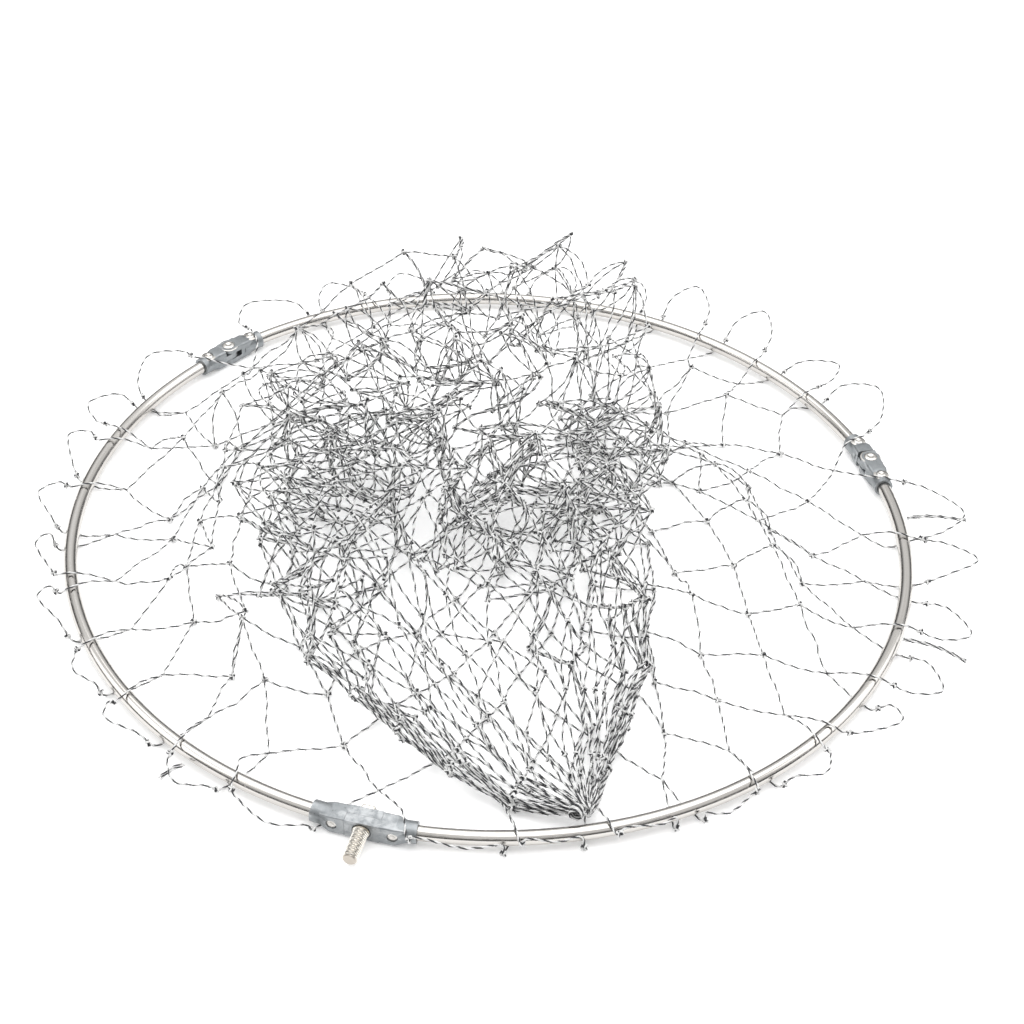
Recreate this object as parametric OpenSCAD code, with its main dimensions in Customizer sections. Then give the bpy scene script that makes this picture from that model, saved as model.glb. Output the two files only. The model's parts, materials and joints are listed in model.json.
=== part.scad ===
// Folding hoop net: a three-piece tube hoop with two riveted hinges, a bolted front lap joint
// for a screw-on handle, and a knotted mesh bag laced round the tube.
// Z points up, square to the hoop's plane. The origin lies on the handle stud's axis, where
// the stud's thread meets its shoulder, and the stud points along -Y.

/* [Hoop] */
// Diameter of the hoop along the middle of its tube
hoop_d = 492; // [440:1:540]
// Outer diameter of the hoop's tube
tube_d = 8; // [7.6:0.1:8]
// Wall of the hoop's tube
tube_wall = 0.8; // [0.6:0.1:1.2]
// Angle at the hoop's centre between two connectors
arc_angle = 120; // [118:1:120]

/* [Connectors] */
// Outer diameter of the round sleeves
sleeve_d = 11.5; // [11.2:0.1:12]
// Gap all round between a tube and its sleeve
sleeve_gap = 0.25; // [0.15:0.05:0.4]
// Width of the connector blocks, across the hoop's tube in its plane
block_w = 11; // [10.6:0.1:11.4]
// From a hinge's pivot to the end of its sleeves
hinge_reach = 24.5; // [23:0.5:27]
// Thickness of a hinge's tongue
tongue_t = 3.8; // [3:0.1:4.4]
// Lean of the left pivot, which lifts the left arc over the right one as both fold
pivot_lean = 2.6; // [2.4:0.1:3]
// From the stud's axis to the end of each front socket
socket_reach = 27.3; // [26:0.1:29]
// Half the length over which the two front laps cover each other
lap_half = 9; // [8:0.5:10]

/* [Handle stud] */
// Outer radius of the stud's thread
stud_r = 3.95; // [3.9:0.01:3.97]
// Length of stud that stands out of the front joint
stud_len = 19; // [16:1:28]
// Radius of the hole in the outer lap, which drops over the stud
lap_hole_r = 4.9; // [4.5:0.1:5]

/* [Netting] */
// Diameter of the twine
twine_d = 1.3; // [1:0.1:1.6]
// Lacing loops on each of the three arcs
loops_per_arc = 10; // [8:1:11]
// How far the lacing loops hang outside the tube's middle line
loop_out = 22; // [16:1:26]
// Height of the heaped bag above the surface that the hoop lies on
heap_h = 105; // [80:1:120]
// Thickness of the bag's solid
bag_t = 4; // [3:0.5:6]

/* [Hidden] */
$fn = 48;

stud_shoulder = 0.3;
hoop_r = hoop_d / 2;
tube_r = tube_d / 2;
bore_r = tube_r + sleeve_gap;
sleeve_r = sleeve_d / 2;
block_half_w = block_w / 2;
block_half_h = sleeve_d / 2;
hoop_centre_y = hoop_r + block_half_w + stud_shoulder;

front_at = 270;
left_hinge_at = front_at - arc_angle;
right_hinge_at = front_at - 360 + arc_angle;

// Along the tube, measured from a pivot or from the stud's axis
hinge_block_end = 12.5;
hinge_tube_end = 12.9;
hinge_rivet_at = 17.5;
shoulder_at = 6.5;
ear_reach = 6;
slot_depth = 6.2;
front_block_end = 20;
front_tube_end = 13.2;
front_bore_end = 12.8;
front_rivet_at = 15.5;

slot_half_h = tongue_t / 2 + 0.2;
tongue_r = 5.2;
lap_gap = 0.05;
lap_end_gap = 0.15;
running_gap = 0.05;

pivot_r = 2.5;
pivot_head_r = 4;
rivet_r = 1.9;
rivet_head_r = 3;
front_head_r = 2.8;
seat_depth = 0.55;
head_t = 0.95;
stud_fit_r = 4.4;
stud_head_r = 6.2;
stud_head_t = 2.4;
stud_chamfer = 0.8;

floor_z = -block_half_h - 0.9;
far = 60;

function along(mm) = mm / hoop_r * 180 / PI;

// Puts children in the hoop's frame, turned so that X points outwards at the given angle
module at_hoop(a) {
  translate([0, hoop_centre_y, 0]) rotate([0, 0, a]) children();
}

// Children stand on the tube's middle line: X outwards, Y anticlockwise along the tube, Z up
module on_hoop(a) {
  at_hoop(a) translate([hoop_r, 0, 0]) children();
}

module ring_segment(from, to, r) {
  at_hoop(from) rotate_extrude(angle = to - from, $fn = 96) translate([hoop_r, 0]) circle(r);
}

// Tube bent to the hoop's curve. Holes are [angle, true where the rivet runs radially]
module arc_tube(from, to, holes) {
  difference() {
    at_hoop(from) rotate_extrude(angle = to - from, $fn = 96) translate([hoop_r, 0])
      difference() {
        circle(tube_r);
        circle(tube_r - tube_wall);
      }
    for (h = holes)
      on_hoop(h[0]) rotate([0, h[1] ? 90 : 0, 0]) cylinder(h = far, r = rivet_r + running_gap, center = true);
  }
}

// Sleeve of a connector, with its bore, and a block that the connector's head grows from
module sleeve(a, side, block_from, block_to, bore_from, reach) {
  difference() {
    union() {
      on_hoop(a) translate([-block_half_w, side > 0 ? block_from : -block_to, -block_half_h])
        cube([block_w, block_to - block_from, 2 * block_half_h]);
      ring_segment(
        side > 0 ? a + along(block_to - 1) : a - along(reach),
        side > 0 ? a + along(reach) : a - along(block_to - 1),
        sleeve_r
      );
      children();
    }
    ring_segment(
      side > 0 ? a + along(bore_from) : a - along(reach + 1),
      side > 0 ? a + along(reach + 1) : a - along(bore_from),
      bore_r
    );
  }
}

// Hole and spot faces for a rivet that stands along Z at the children's place
module rivet_seat(shank_r, head_r, face) {
  cylinder(h = far, r = shank_r + running_gap, center = true);
  for (s = [-1, 1])
    translate([0, 0, s > 0 ? face : -face - far]) cylinder(h = far, r = head_r + 0.1);
}

// Tubular rivet along Z with low rounded heads and a dimple in each end
module rivet(shank_r, head_r, face, height) {
  dimple_r = shank_r * 0.62;
  rotate_extrude() polygon([
    [0, -face - height * 0.3], [dimple_r, -face - height * 0.55], [dimple_r + 0.5, -face - height],
    [head_r - 0.7, -face - height * 0.8], [head_r, -face - height * 0.35], [head_r, -face - 0.02],
    [shank_r, -face - 0.02], [shank_r, face + 0.02], [head_r, face + 0.02],
    [head_r, face + height * 0.35], [head_r - 0.7, face + height * 0.8],
    [dimple_r + 0.5, face + height], [dimple_r, face + height * 0.55], [0, face + height * 0.3]
  ]);
}

// Clevis on the clockwise side of a pivot. Its ears end square outside, as a stop, and round inside
module hinge_clevis(a, lean) {
  difference() {
    sleeve(a, -1, slot_depth, hinge_block_end, hinge_block_end, hinge_reach)
      on_hoop(a) rotate([-lean, 0, 0]) difference() {
        translate([0, 0, -block_half_h]) linear_extrude(2 * block_half_h) union() {
          circle(block_half_w);
          translate([-block_half_w, -slot_depth - 1]) square([block_w, slot_depth + 1]);
          square([block_half_w, ear_reach]);
        }
        translate([-far / 2, -slot_depth, -slot_half_h]) cube([far, far, 2 * slot_half_h]);
      }
    on_hoop(a) rotate([-lean, 0, 0]) rivet_seat(pivot_r, pivot_head_r, block_half_h - 0.2);
    on_hoop(a - along(hinge_rivet_at)) rivet_seat(rivet_r, rivet_head_r, sleeve_r - seat_depth);
  }
}

// Tongue on the anticlockwise side of a pivot
module hinge_tongue(a, lean) {
  difference() {
    sleeve(a, 1, shoulder_at, hinge_block_end, hinge_block_end, hinge_reach)
      on_hoop(a) rotate([-lean, 0, 0]) translate([0, 0, -tongue_t / 2]) linear_extrude(tongue_t) union() {
        circle(tongue_r);
        translate([-tongue_r, 0]) square([2 * tongue_r, shoulder_at + 1]);
      }
    on_hoop(a) rotate([-lean, 0, 0]) cylinder(h = far, r = pivot_r + running_gap, center = true);
    on_hoop(a + along(hinge_rivet_at)) rivet_seat(rivet_r, rivet_head_r, sleeve_r - seat_depth);
  }
}

module pivot_rivet(a, lean) {
  on_hoop(a) rotate([-lean, 0, 0]) rivet(pivot_r, pivot_head_r, block_half_h - 0.2, head_t);
}

module sleeve_rivet(a) {
  on_hoop(a) rivet(rivet_r, rivet_head_r, sleeve_r - seat_depth, head_t);
}

// Front socket on one side of the stud: side -1 carries the inner lap, side 1 the outer lap
module lap_socket(side, hole_r) {
  difference() {
    sleeve(front_at, side, lap_half, front_block_end, front_bore_end, socket_reach)
      on_hoop(front_at) translate([
        side > 0 ? lap_gap : -block_half_w, side > 0 ? lap_end_gap - lap_half : -lap_half, -block_half_h
      ]) cube([block_half_w - lap_gap, 2 * lap_half - lap_end_gap, 2 * block_half_h]);
    on_hoop(front_at) rotate([0, 90, 0]) cylinder(h = far, r = hole_r, center = true);
    on_hoop(front_at + side * along(front_rivet_at)) rotate([0, 90, 0])
      rivet_seat(rivet_r, front_head_r, block_half_w - seat_depth);
  }
}

module socket_rivet(side) {
  on_hoop(front_at + side * along(front_rivet_at)) rotate([0, 90, 0])
    rivet(rivet_r, front_head_r, block_half_w - seat_depth, seat_depth * 1.1);
}

function unit(v) = v / norm(v);

// Closed tube of twine through a list of points
module twine(points, sides = 6) {
  last = len(points) - 1;
  ways = [for (i = [0:last]) unit(points[min(i + 1, last)] - points[max(i - 1, 0)])];
  rings = [for (i = [0:last])
    let (side_way = unit(cross(ways[i], [0.31, 0.17, 0.93])), up_way = cross(side_way, ways[i]))
    for (k = [0:sides - 1])
      points[i] + twine_d / 2 * (cos(k * 360 / sides) * side_way + sin(k * 360 / sides) * up_way)];
  walls = [for (i = [0:last - 1], k = [0:sides - 1])
    let (a = i * sides + k, b = i * sides + (k + 1) % sides)
    each [[a, b, b + sides], [a, b + sides, a + sides]]];
  polyhedron(points = rings, faces = concat(
    walls,
    [[for (k = [sides - 1:-1:0]) k]],
    [[for (k = [0:sides - 1]) last * sides + k]]
  ));
}

// Lacing loops of one arc: each runs from an inner knot over the tube, hangs outside, and
// comes back under the tube to the next inner knot
module lacing(from) {
  end_clear = socket_reach + 19.2;
  free = hoop_r * arc_angle * PI / 180 - 2 * end_clear;
  pitch = free / (loops_per_arc - 1);
  inner = 24;
  steps = 12;
  for (i = [0:loops_per_arc - 1])
    let (middle = end_clear + i * pitch)
      twine([for (k = [0:steps])
        let (
          u = 0.02 + 0.96 * k / steps,
          a = from + along(middle + pitch * (u - 0.5)),
          r = hoop_r - inner + (inner + loop_out) * sin(180 * u)
        )
        [r * cos(a), hoop_centre_y + r * sin(a), (sleeve_r + 0.1) * sin(360 * u)]
      ]);
}

// Height of the bag's cloth over the surface, at a place measured from the hoop's centre
function mound(x, y, cx, cy, rx, ry) = exp(-pow((x - cx) / rx, 2) - pow((y - cy) / ry, 2));
function from_ridge(x, y) =
  let (t = max(0, min(1, (150 - y) / 360))) abs(x - (5 + 100 * t)) / (28 + 60 * (1 - t));
function bag_height(x, y) = (heap_h - bag_t) * (
  0.62 * mound(x, y, -45, 65, 105, 110)
  + 0.42 * mound(x, y, -10, 125, 80, 62)
  + 0.14 * exp(-pow(from_ridge(x, y), 2))
);

// The bag as a thin shell, drawn as rings about the hoop's centre and open underneath
module bag_shell() {
  rings = 15;
  spokes = 40;
  rim_r = hoop_r - 30;
  function at(i, k) =
    let (r = rim_r * i / rings, a = k * 360 / spokes, x = r * cos(a), y = r * sin(a))
    [x, y + hoop_centre_y, bag_height(x, y)];
  layer = 1 + rings * spokes;
  function point(i, k) = i == 0 ? 0 : 1 + (i - 1) * spokes + k % spokes;
  sheet = [at(0, 0), for (i = [1:rings], k = [0:spokes - 1]) at(i, k)];
  fans = [for (k = [0:spokes - 1]) [0, point(1, k + 1), point(1, k)]];
  quads = [for (i = [1:rings - 1], k = [0:spokes - 1]) each [
    [point(i, k), point(i, k + 1), point(i + 1, k + 1)],
    [point(i, k), point(i + 1, k + 1), point(i + 1, k)]
  ]];
  rim = [for (k = [0:spokes - 1]) each [
    [point(rings, k), point(rings, k + 1), layer + point(rings, k + 1)],
    [point(rings, k), layer + point(rings, k + 1), layer + point(rings, k)]
  ]];
  top = concat(fans, quads);
  polyhedron(
    points = concat(
      [for (p = sheet) p + [0, 0, floor_z + bag_t]],
      [for (p = sheet) p + [0, 0, floor_z]]
    ),
    faces = concat(top, rim, [for (f = top) [f[2] + layer, f[1] + layer, f[0] + layer]])
  );
}

module rear_arc_tube() {
  color("silver") arc_tube(
    right_hinge_at + along(hinge_tube_end), left_hinge_at - along(hinge_tube_end),
    [[right_hinge_at + along(hinge_rivet_at), false], [left_hinge_at - along(hinge_rivet_at), false]]
  );
}
module left_arc_tube() {
  color("silver") arc_tube(
    left_hinge_at + along(hinge_tube_end), front_at - along(front_tube_end),
    [[left_hinge_at + along(hinge_rivet_at), false], [front_at - along(front_rivet_at), true]]
  );
}
module right_arc_tube() {
  color("silver") arc_tube(
    front_at + along(front_tube_end), right_hinge_at + 360 - along(hinge_tube_end),
    [[front_at + along(front_rivet_at), true], [right_hinge_at - along(hinge_rivet_at), false]]
  );
}

module left_hinge_clevis() { color("slategray") hinge_clevis(left_hinge_at, pivot_lean); }
module left_hinge_tongue() { color("slategray") hinge_tongue(left_hinge_at, pivot_lean); }
module left_pivot_rivet() { color("gainsboro") pivot_rivet(left_hinge_at, pivot_lean); }
module left_clevis_rivet() { color("gainsboro") sleeve_rivet(left_hinge_at - along(hinge_rivet_at)); }
module left_tongue_rivet() { color("gainsboro") sleeve_rivet(left_hinge_at + along(hinge_rivet_at)); }
module right_hinge_tongue() { color("slategray") hinge_tongue(right_hinge_at, 0); }
module right_hinge_clevis() { color("slategray") hinge_clevis(right_hinge_at, 0); }
module right_pivot_rivet() { color("gainsboro") pivot_rivet(right_hinge_at, 0); }
module right_tongue_rivet() { color("gainsboro") sleeve_rivet(right_hinge_at + along(hinge_rivet_at)); }
module right_clevis_rivet() { color("gainsboro") sleeve_rivet(right_hinge_at - along(hinge_rivet_at)); }

module inner_lap_socket() { color("slategray") lap_socket(-1, stud_fit_r + running_gap); }
module outer_lap_socket() { color("slategray") lap_socket(1, lap_hole_r); }
module left_socket_rivet() { color("gainsboro") socket_rivet(-1); }
module right_socket_rivet() { color("gainsboro") socket_rivet(1); }

// Stud with a hexagon head behind the inner lap and a shoulder that ends just in front of the
// outer lap. Its free end is a plain cylinder of the thread's size
module handle_stud() {
  color("silver") on_hoop(front_at) rotate([0, 90, 0]) union() {
    translate([0, 0, -block_half_w - running_gap - stud_head_t])
      cylinder(h = stud_head_t, r = stud_head_r, $fn = 6);
    translate([0, 0, -block_half_w - 1]) cylinder(h = 2 * block_half_w + 1 + stud_shoulder, r = stud_fit_r);
    translate([0, 0, block_half_w]) cylinder(h = stud_len - stud_chamfer, r = stud_r);
    translate([0, 0, block_half_w + stud_len - stud_chamfer])
      cylinder(h = stud_chamfer, r1 = stud_r, r2 = stud_r - stud_chamfer);
  }
}

module net_bag() { color("whitesmoke") bag_shell(); }

// Gathered and tied end of the bag, lying over the lacing at the front right
module bag_end_tie() {
  tie_at = front_at + 27;
  color("whitesmoke") on_hoop(tie_at) translate([-14, 0, 10.4]) rotate([0, 90, 0]) union() {
    cylinder(h = 4, r = 3.4);
    translate([0, 0, 4]) cylinder(h = 3, r = 2.2);
  }
}

module rear_loops() { color("whitesmoke") lacing(right_hinge_at); }
module left_loops() { color("whitesmoke") lacing(left_hinge_at); }
module right_loops() { color("whitesmoke") lacing(front_at); }

rear_arc_tube();
left_arc_tube();
right_arc_tube();
left_hinge_clevis();
left_hinge_tongue();
left_pivot_rivet();
left_clevis_rivet();
left_tongue_rivet();
right_hinge_tongue();
right_hinge_clevis();
right_pivot_rivet();
right_tongue_rivet();
right_clevis_rivet();
inner_lap_socket();
outer_lap_socket();
handle_stud();
left_socket_rivet();
right_socket_rivet();
net_bag();
bag_end_tie();
rear_loops();
left_loops();
right_loops();
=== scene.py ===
import json
import math

import bmesh
import bpy
import numpy as np
from mathutils import Matrix, Vector


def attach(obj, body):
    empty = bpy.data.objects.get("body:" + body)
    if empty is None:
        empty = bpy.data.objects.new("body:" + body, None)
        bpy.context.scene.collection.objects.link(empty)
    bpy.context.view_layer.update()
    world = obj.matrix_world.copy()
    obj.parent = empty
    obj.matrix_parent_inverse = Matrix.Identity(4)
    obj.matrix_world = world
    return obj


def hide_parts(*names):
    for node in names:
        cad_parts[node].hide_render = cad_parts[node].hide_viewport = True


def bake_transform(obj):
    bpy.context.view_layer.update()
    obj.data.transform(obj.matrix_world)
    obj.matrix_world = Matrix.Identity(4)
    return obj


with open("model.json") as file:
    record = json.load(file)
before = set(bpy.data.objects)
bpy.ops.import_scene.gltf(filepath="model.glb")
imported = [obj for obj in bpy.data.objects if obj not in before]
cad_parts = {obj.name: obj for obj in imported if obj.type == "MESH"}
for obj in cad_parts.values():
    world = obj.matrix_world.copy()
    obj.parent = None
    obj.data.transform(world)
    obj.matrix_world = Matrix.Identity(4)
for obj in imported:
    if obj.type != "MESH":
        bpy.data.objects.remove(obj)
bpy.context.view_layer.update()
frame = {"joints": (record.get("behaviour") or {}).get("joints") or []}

# ---- sizes, in metres and degrees

# Hoop angles start at the right, as +X points, and grow anticlockwise seen from above
FRONT, LEFT_HINGE, RIGHT_HINGE = 270.0, 150.0, 30.0
right_pivot = next(j["pos_m"] for j in frame["joints"] if j["name"] == "right_fold")
HOOP_R = right_pivot[0] / math.cos(math.radians(RIGHT_HINGE))
HOOP_Y = right_pivot[1] - HOOP_R / 2
PIVOT_LEAN = 2.6
TUBE_R = 0.004
TUBE_WALL = 0.0008
TUBE_SIDES = 40
ARC_STEPS = 100
TABLE_Z = -0.00685


def along(metres):
    """Hoop angle, in degrees, that a length of the tube covers"""
    return math.degrees(metres / HOOP_R)


def hoop_place(angle, lean=0.0):
    """Frame on the tube's middle line: X points outwards, Y anticlockwise along the tube and Z up"""
    return (
        Matrix.Translation((0, HOOP_Y, 0))
        @ Matrix.Rotation(math.radians(angle), 4, "Z")
        @ Matrix.Translation((HOOP_R, 0, 0))
        @ Matrix.Rotation(math.radians(-lean), 4, "X")
    )


# ---- camera, lights and floor

VIEW_AZIMUTH, VIEW_ELEVATION, VIEW_ROLL = 12.88, 39.12, 2.29
VIEW_DISTANCE = 1.116
VIEW_LENS, VIEW_SENSOR = 65.67, 36
VIEW_SHIFT_RIGHT, VIEW_SHIFT_UP = 0.01234, 0.0066


def studio_camera():
    """Camera that looks at the hoop from in front and above, a little tilted"""
    a, e, r = (math.radians(v) for v in (VIEW_AZIMUTH, VIEW_ELEVATION, VIEW_ROLL))
    right = Vector((math.cos(a), math.sin(a), 0))
    back = Vector((math.sin(a) * math.cos(e), -math.cos(a) * math.cos(e), math.sin(e)))
    up = back.cross(right)
    place = Vector((0, HOOP_Y, 0)) + right * VIEW_SHIFT_RIGHT + up * VIEW_SHIFT_UP
    place += back * VIEW_DISTANCE
    tilted_right = right * math.cos(r) + up * math.sin(r)
    tilted_up = up * math.cos(r) - right * math.sin(r)
    data = bpy.data.cameras.new("studio_camera")
    data.lens = VIEW_LENS
    data.sensor_width = VIEW_SENSOR
    data.clip_start = 0.01
    camera = bpy.data.objects.new("studio_camera", data)
    turn = Matrix((tilted_right, tilted_up, back)).transposed().to_4x4()
    camera.matrix_world = Matrix.Translation(place) @ turn
    bpy.context.scene.collection.objects.link(camera)
    bpy.context.scene.camera = camera


def soft_light(name, place, width, height, watts):
    """Rectangular soft box that faces the middle of the hoop"""
    data = bpy.data.lights.new(name, "AREA")
    data.shape = "RECTANGLE"
    data.size, data.size_y = width, height
    data.energy = watts
    lamp = bpy.data.objects.new(name, data)
    lamp.location = place
    towards = Vector((0, HOOP_Y, 0.02)) - Vector(place)
    lamp.rotation_euler = towards.to_track_quat("-Z", "Y").to_euler()
    bpy.context.scene.collection.objects.link(lamp)


# ---- materials


class Wire:
    """A shader socket that takes part in Python expressions"""

    def __init__(self, paint, socket):
        self.paint, self.socket = paint, socket

    def math(self, operation, *others):
        return self.paint.node("ShaderNodeMath", {"operation": operation}, [self, *others])

    def __add__(self, other):
        return self.math("ADD", other)

    def __sub__(self, other):
        return self.math("SUBTRACT", other)

    def __mul__(self, other):
        return self.math("MULTIPLY", other)

    def __pow__(self, other):
        return self.math("POWER", other)

    def __rsub__(self, other):
        return self.paint.node("ShaderNodeMath", {"operation": "SUBTRACT"}, [other, self])

    __radd__ = __add__

    def within(self, low, high):
        """0 up to low, 1 from high, and a smooth slope between them"""
        return self.paint.node(
            "ShaderNodeMapRange", {"interpolation_type": "SMOOTHSTEP"},
            {"Value": self, "From Min": low, "From Max": high},
        )


class Paint:
    """Builds one material's nodes round its Principled shader"""

    def __init__(self, name, **finish):
        self.material = bpy.data.materials.new(name)
        self.material.use_nodes = True
        self.tree = self.material.node_tree
        self.shader = next(n for n in self.tree.nodes if n.type == "BSDF_PRINCIPLED")
        for socket, value in finish.items():
            self.surface(socket.replace("_", " "), value)

    def feed(self, socket, value):
        """Sets a socket to a number or colour, or links a wire to it"""
        if isinstance(value, Wire):
            self.tree.links.new(value.socket, socket)
        elif isinstance(value, (tuple, list)) and socket.type == "RGBA":
            socket.default_value = (*value, 1)
        else:
            socket.default_value = value

    def surface(self, name, value):
        """Sets one of the Principled shader's own sockets"""
        self.feed(self.shader.inputs[name], value)

    def node(self, kind, settings=None, sockets=(), output=0):
        made = self.tree.nodes.new(kind)
        for key, value in (settings or {}).items():
            setattr(made, key, value)
        pairs = sockets.items() if isinstance(sockets, dict) else enumerate(sockets)
        for key, value in pairs:
            self.feed(made.inputs[key], value)
        return Wire(self, made.outputs[output])

    def place(self, output="Object"):
        return self.node("ShaderNodeTexCoord", output=output)

    def parts(self, vector):
        return [self.node("ShaderNodeSeparateXYZ", None, [vector], n) for n in range(3)]

    def vector(self, x, y, z):
        return self.node("ShaderNodeCombineXYZ", None, [x, y, z])

    def noise(self, vector, scale, detail=3.0, roughness=0.5):
        return self.node("ShaderNodeTexNoise", None, {
            "Vector": vector, "Scale": scale, "Detail": detail, "Roughness": roughness,
        })

    def mix(self, factor, first, second):
        sockets = {0: factor, 6: first, 7: second}
        return self.node("ShaderNodeMix", {"data_type": "RGBA"}, sockets, 2)

    def bump(self, height, strength, distance):
        normal = self.node("ShaderNodeBump", None, {
            "Height": height, "Strength": strength, "Distance": distance,
        })
        self.surface("Normal", normal)


def tube_steel():
    """Polished stainless tube with fine drawing marks that follow its length"""
    paint = Paint("polished_tube_steel", Metallic=1.0)
    x, y, z = paint.parts(paint.place())
    y = y - HOOP_Y
    out = (x * x + y * y) ** 0.5 - HOOP_R
    turn = paint.node("ShaderNodeMath", {"operation": "ARCTAN2"}, [y, x])
    marks = paint.noise(paint.vector(out * 2600, z * 2600, turn * 9), 1.0, 4.0, 0.6)
    bands = paint.noise(paint.vector(out * 420, z * 420, turn * 2.2), 1.0, 2.0)
    smears = paint.noise(paint.place(), 24.0, 3.0, 0.6)
    tint = paint.mix(bands.within(0.3, 0.75), (0.60, 0.58, 0.555), (0.50, 0.48, 0.455))
    paint.surface("Base Color", tint)
    rough = 0.10 + marks * 0.10 + smears.within(0.45, 0.8) * 0.07
    paint.surface("Roughness", rough)
    paint.bump(marks, 0.12, 0.00004)
    return paint.material


def cast_zinc():
    """Die-cast zinc: satin grey with a fine grain, small pits, and bright rubbed edges"""
    paint = Paint("die_cast_zinc", Metallic=0.9)
    here = paint.place()
    grain = paint.noise(here, 2600.0, 4.0, 0.65)
    cloud = paint.noise(here, 260.0, 3.0, 0.6)
    pits = paint.noise(here, 900.0, 2.0, 0.5).within(0.66, 0.74)
    bend = paint.node("ShaderNodeNewGeometry", output="Pointiness")
    rubbed = bend.within(0.515, 0.60) * cloud.within(0.30, 0.62)
    grey = paint.mix(cloud.within(0.25, 0.75), (0.235, 0.25, 0.26), (0.285, 0.30, 0.31))
    grey = paint.mix(grain.within(0.35, 0.75) * 0.3, grey, (0.37, 0.385, 0.395))
    grey = paint.mix(pits * 0.55, grey, (0.13, 0.14, 0.145))
    grey = paint.mix(rubbed * 0.5, grey, (0.50, 0.51, 0.52))
    paint.surface("Base Color", grey)
    rough = 0.36 + grain * 0.16 + pits * 0.2 - rubbed * 0.14
    paint.surface("Roughness", rough)
    paint.bump(grain * 0.6 + cloud * 0.45 - pits * 1.2, 0.35, 0.00008)
    return paint.material


def rivet_steel():
    """Bright tumbled steel with tiny dents"""
    paint = Paint("tumbled_rivet_steel", Metallic=1.0)
    here = paint.place()
    dents = paint.noise(here, 1500.0, 2.0)
    film = paint.noise(here, 500.0, 3.0, 0.6)
    tint = paint.mix(film.within(0.35, 0.7), (0.66, 0.645, 0.615), (0.52, 0.50, 0.475))
    paint.surface("Base Color", tint)
    paint.surface("Roughness", 0.20 + film * 0.16)
    paint.bump(dents, 0.3, 0.00006)
    return paint.material


def thread_steel():
    """Stainless screw thread, rolled, a little duller in its grooves, where painted shade also darkens
    its colour
    """
    paint = Paint("rolled_thread_steel", Metallic=1.0)
    x, _, z = paint.parts(paint.place())
    away = (x * x + z * z) ** 0.5
    crest = away.within(0.0033, 0.00385)
    film = paint.noise(paint.place(), 900.0, 3.0, 0.6)
    # painted shade: the thread's grooves get a much darker colour than its crests, in place of the
    # shade that falls into them
    tint = paint.mix(crest, (0.47, 0.43, 0.38), (0.86, 0.83, 0.77))
    tint = paint.mix(film.within(0.4, 0.8) * 0.3, tint, (0.62, 0.58, 0.52))
    paint.surface("Base Color", tint)
    paint.surface("Roughness", 0.36 - crest * 0.14 + film * 0.08)
    paint.bump(film, 0.2, 0.00004)
    return paint.material


def net_twine():
    """Hard twine of one white and one black yarn. The UV map runs round the twine and along it"""
    paint = Paint("two_yarn_twine", Roughness=0.62, Sheen_Weight=0.25, Sheen_Roughness=0.4)
    around, lengthwise, _ = paint.parts(paint.place("UV"))
    fibre = paint.noise(paint.vector(around * 26 + lengthwise * 3, lengthwise * 7, 0.0), 1.0, 3.0, 0.6)
    fuzz = paint.noise(paint.place(), 900.0, 3.0, 0.6)
    edge = fuzz * 0.05 - 0.025
    turned = (around + edge) * 2 * math.pi
    side = paint.node("ShaderNodeMath", {"operation": "COSINE"}, [turned])
    black = side.within(0.0, 0.22)
    white_yarn = paint.mix(fibre, (0.60, 0.60, 0.60), (0.84, 0.84, 0.83))
    black_yarn = paint.mix(fibre.within(0.35, 0.8), (0.010, 0.010, 0.012), (0.075, 0.077, 0.085))
    paint.surface("Base Color", paint.mix(black, white_yarn, black_yarn))
    paint.bump(fibre, 0.5, 0.00010)
    return paint.material


def table_white():
    """White paper on the table, which glows a little so that it stays white"""
    paint = Paint("white_table", Roughness=0.9, Emission_Color=(1, 1, 1), Emission_Strength=0.22)
    cloud = paint.noise(paint.place(), 3.0, 2.0)
    tint = paint.mix(cloud, (0.90, 0.90, 0.90), (0.92, 0.92, 0.92))
    paint.surface("Base Color", tint)
    return paint.material


def studio_room():
    """White room whose walls mirror darker near the ground, so that bright metal shows its shape"""
    world = bpy.data.worlds.new("studio_room")
    world.use_nodes = True
    tree = world.node_tree
    split = tree.nodes.new("ShaderNodeSeparateXYZ")
    tree.links.new(tree.nodes.new("ShaderNodeTexCoord").outputs["Generated"], split.inputs[0])
    wall = tree.nodes.new("ShaderNodeValToRGB")
    wall.color_ramp.elements.new(0.3)
    levels = ((0.10, 0.03), (0.30, 0.25), (0.55, 1.0))
    for stop, (height, level) in zip(wall.color_ramp.elements, levels):
        stop.position, stop.color = height, (level, level, level, 1)
    tree.links.new(split.outputs[2], wall.inputs[0])
    seen = tree.nodes.new("ShaderNodeMix")
    seen.data_type = "RGBA"
    seen.inputs[7].default_value = (1, 1, 1, 1)
    tree.links.new(tree.nodes.new("ShaderNodeLightPath").outputs["Is Camera Ray"], seen.inputs[0])
    tree.links.new(wall.outputs[0], seen.inputs[6])
    tree.links.new(seen.outputs[2], tree.nodes["Background"].inputs["Color"])
    bpy.context.scene.world = world


TUBE_STEEL = tube_steel()
CAST_ZINC = cast_zinc()
RIVET_STEEL = rivet_steel()
THREAD_STEEL = thread_steel()
NET_TWINE = net_twine()

# ---- shaping helpers

MERGE_STEP = 0.000004
CAST_ROUNDING = 0.00042


def only(*objects):
    """Selects these objects alone, and makes the first one active"""
    bpy.ops.object.select_all(action="DESELECT")
    for o in objects:
        o.select_set(True)
    bpy.context.view_layer.objects.active = objects[0]


def edit(o, mode="FACE", action="DESELECT"):
    """Opens a mesh for editing with all or nothing of it selected"""
    only(o)
    bpy.ops.object.mode_set(mode="EDIT")
    bpy.ops.mesh.select_mode(type=mode)
    bpy.ops.mesh.select_all(action=action)


def done():
    bpy.ops.object.mode_set(mode="OBJECT")


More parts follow.
